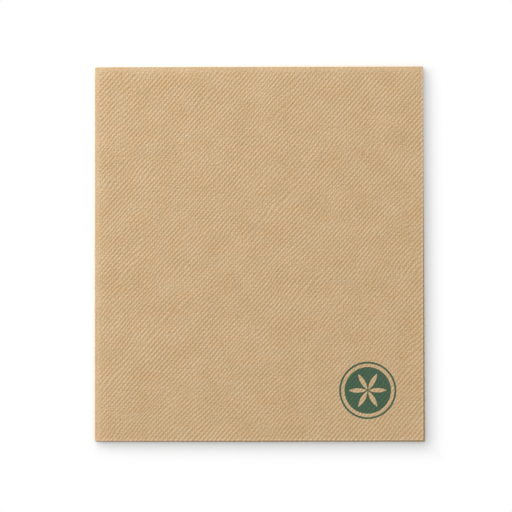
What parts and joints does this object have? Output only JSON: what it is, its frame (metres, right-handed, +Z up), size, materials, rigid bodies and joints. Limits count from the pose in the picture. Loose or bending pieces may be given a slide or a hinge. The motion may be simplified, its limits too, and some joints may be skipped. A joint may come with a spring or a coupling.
{
  "type": "paper napkin",
  "caption": "Unbleached paper napkin with diagonal embossed ribs, folded into a flat rectangle to lie on a table at a place setting.",
  "frame": {"origin": "on the table, under the middle of the box that the folded napkin fills", "axes": "+Z up through the layers; +Y along the longer side, towards the first fold; +X away from the second fold, towards the cut edges"},
  "size_m": [0.1902, 0.2166, 0.0024],
  "materials": {
    "napkin_paper": "unbleached tissue paper, embossed, matt"
  },
  "bodies": {
    "root": {"napkin": "napkin_paper"}
  },
  "joints": []
}
